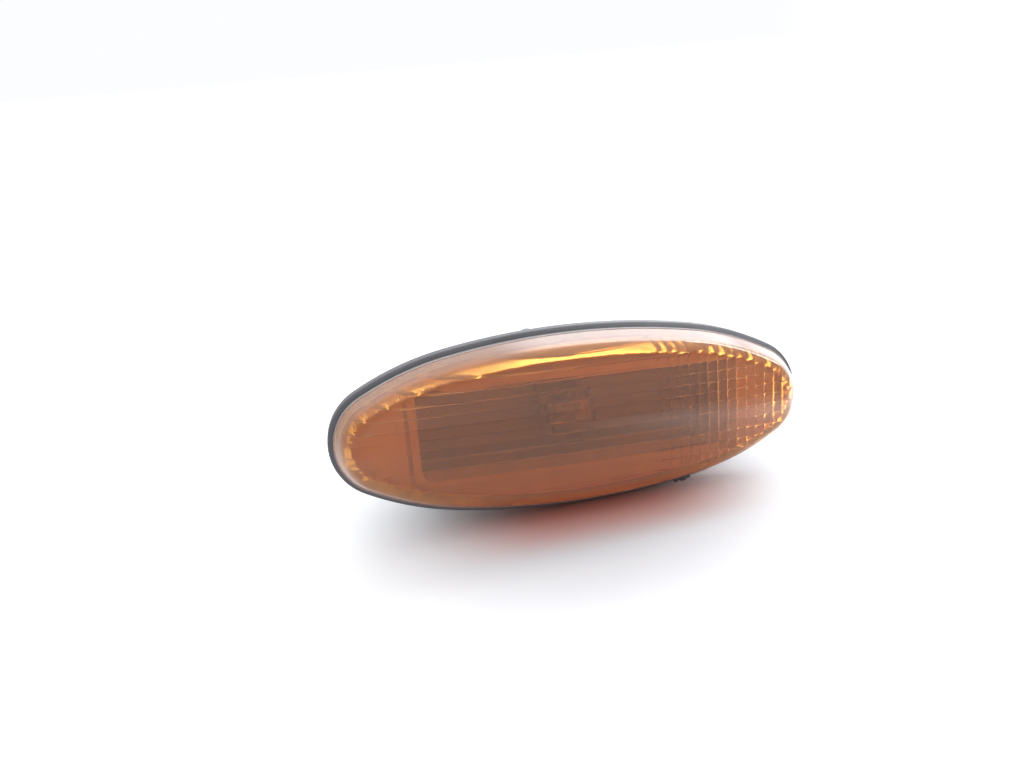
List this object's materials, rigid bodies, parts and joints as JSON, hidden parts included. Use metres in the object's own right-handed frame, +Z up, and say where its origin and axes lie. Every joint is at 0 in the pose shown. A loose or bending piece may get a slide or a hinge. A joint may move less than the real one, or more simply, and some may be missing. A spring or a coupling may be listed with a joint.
{
  "type": "side repeater lamp",
  "caption": "Oval amber side repeater lamp for a car wing: celled domed lens on a gasketed housing, with hook and spring clip fixing and a twist-lock wedge bulb holder.",
  "frame": {"origin": "middle of the gasket's back face, which seats on the body panel", "axes": "+X along the lamp, +Y into the panel (the lens faces -Y), +Z up"},
  "size_m": [0.094, 0.0455, 0.0356],
  "materials": {
    "lens": "amber, clear, polished outside and celled inside",
    "gasket": "black moulded rubber, matt and greyed with age",
    "housing": "light grey moulded plastic, fine grain",
    "spring": "spring steel, satin",
    "holder": "mid grey moulded plastic, fine grain",
    "seal": "black rubber ring",
    "glass": "clear bulb glass",
    "wire": "bare lead and filament wire",
    "contact": "brass strip"
  },
  "bodies": {
    "lamp": {"lens": "lens", "gasket": "gasket", "housing": "housing", "spring_clip": "spring"},
    "holder": {"bulb_holder": "holder", "holder_seal": "seal", "bulb_glass": "glass", "lead_wire_left": "wire", "lead_wire_right": "wire", "filament": "wire", "terminal_upper": "contact", "terminal_lower": "contact"}
  },
  "joints": [
    {"name": "holder_twist", "type": "hinge", "parent": "lamp", "child": "holder", "pos_m": [0, 0.0155, 0], "axis": [0, 1, 0], "range_deg": [0, 60]}
  ]
}
